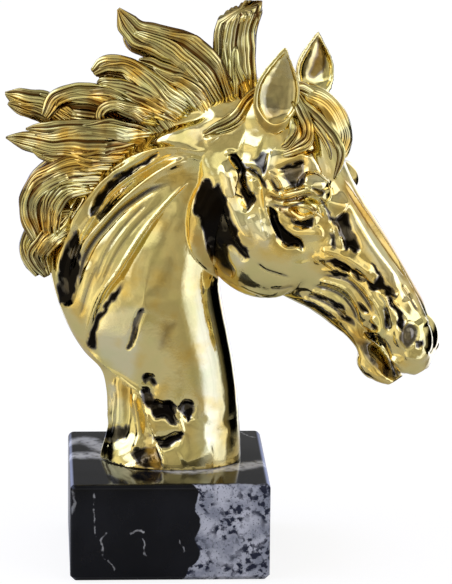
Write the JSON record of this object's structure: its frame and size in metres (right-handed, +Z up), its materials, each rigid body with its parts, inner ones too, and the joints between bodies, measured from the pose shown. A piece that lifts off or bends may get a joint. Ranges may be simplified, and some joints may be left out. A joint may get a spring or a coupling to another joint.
{
  "type": "horse head trophy",
  "caption": "Gilt cast horse head and arched neck with a wind-blown mane, standing on a square polished marble plinth.",
  "frame": {"origin": "middle of the plinth's underside", "axes": "+Z up, +X the way the muzzle points in the side view, +Y away from the side shown most"},
  "size_m": [0.1724, 0.0897, 0.228],
  "materials": {
    "gilt": "mirror-polished gold plate with darker recesses in the hair",
    "marble": "polished black marble with grey and white veins and one pale patch"
  },
  "bodies": {
    "root": {"horse_head": "gilt", "plinth": "marble"}
  },
  "joints": []
}
